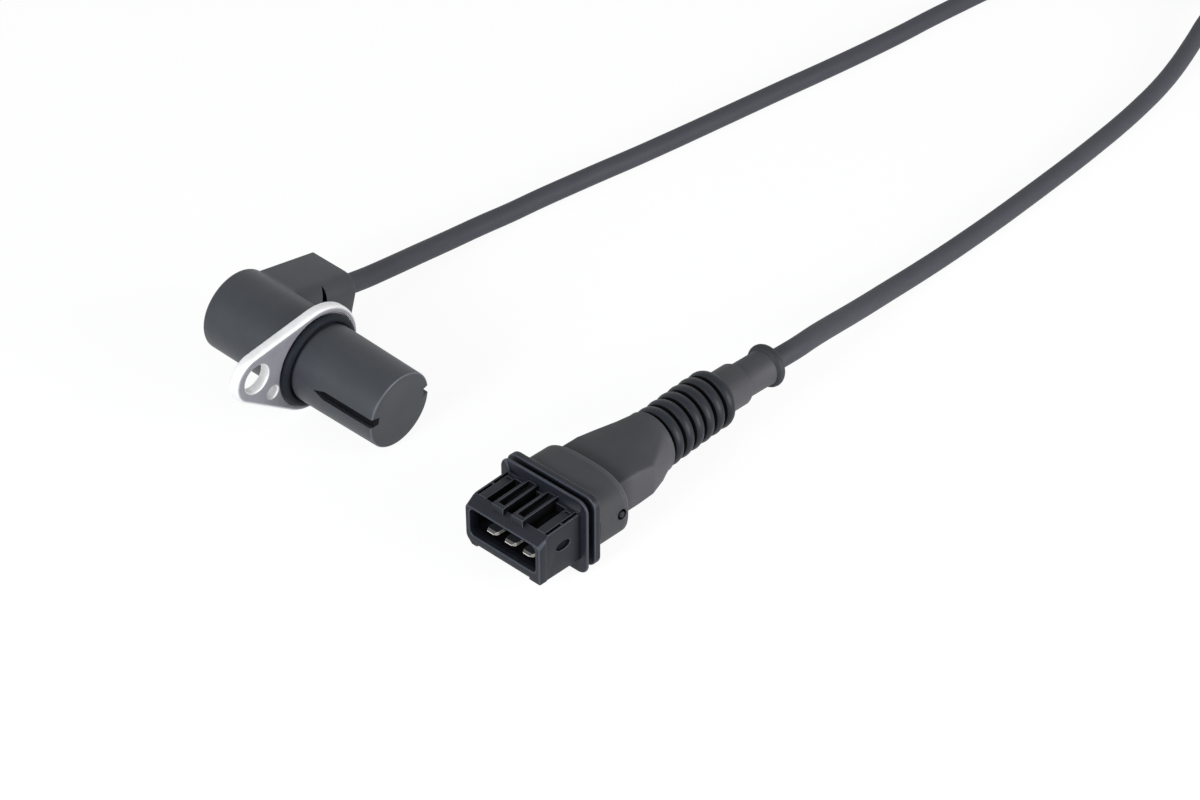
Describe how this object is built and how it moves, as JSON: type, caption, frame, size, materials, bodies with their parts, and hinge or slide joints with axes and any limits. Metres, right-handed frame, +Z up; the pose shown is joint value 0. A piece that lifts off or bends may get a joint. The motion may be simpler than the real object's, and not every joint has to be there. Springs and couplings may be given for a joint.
{
  "type": "crankshaft position sensor",
  "caption": "Crankshaft position sensor with a grooved round nose, a steel mounting flange with a bolt ear, a lead and a ribbed boot on a tab plug.",
  "frame": {"origin": "where the nose's axis meets the rear edge of the nose's round land, 1.6 mm in front of the flange", "axes": "+Z up from the table the sensor lies on, +X along the plug from its mouth to its boot, the nose points to -Y, turned 4.8 degrees about Z and dipped 6.8 degrees"},
  "size_m": [0.3749, 0.1106, 0.0254],
  "materials": {
    "moulding": "fine matte moulding, charcoal grey",
    "flange_steel": "zinc-plated steel, satin",
    "seal_rubber": "smooth black rubber",
    "core_steel": "bright soft steel",
    "magnet_metal": "dark sintered metal",
    "former_plastic": "pale natural plastic",
    "winding_copper": "enamelled copper wire",
    "terminal_tin": "tinned pins",
    "resin": "black casting resin",
    "jacket": "matte grey-black cable jacket",
    "core_yellow": "yellow core insulation",
    "core_brown": "dark brown core insulation",
    "core_white": "white core insulation",
    "tie_plastic": "black tie band",
    "housing_plastic": "dark blue-grey moulding, satin",
    "tab_tin": "tin-plated tabs with a warm tone",
    "boot_rubber": "matte charcoal rubber"
  },
  "bodies": {
    "root": {"sensor_body": "moulding", "mounting_flange": "flange_steel", "o_ring": "seal_rubber", "rear_cap": "moulding", "pole_pin": "core_steel", "magnet": "magnet_metal", "coil_bobbin": "former_plastic", "coil_winding": "winding_copper", "terminal_signal": "terminal_tin", "terminal_ground": "terminal_tin", "terminal_screen": "terminal_tin", "potting": "resin", "head_jacket_end": "jacket", "head_core_signal": "core_yellow", "head_core_ground": "core_brown", "head_core_screen": "core_white", "cable_head": "jacket", "cable_coil": "jacket", "coil_tie": "tie_plastic", "cable_plug": "jacket", "plug_housing": "housing_plastic", "contact_1": "tab_tin", "contact_2": "tab_tin", "contact_3": "tab_tin", "plug_core_1": "core_yellow", "plug_core_2": "core_brown", "plug_core_3": "core_white", "plug_jacket_end": "jacket", "rubber_boot": "boot_rubber"}
  },
  "joints": []
}
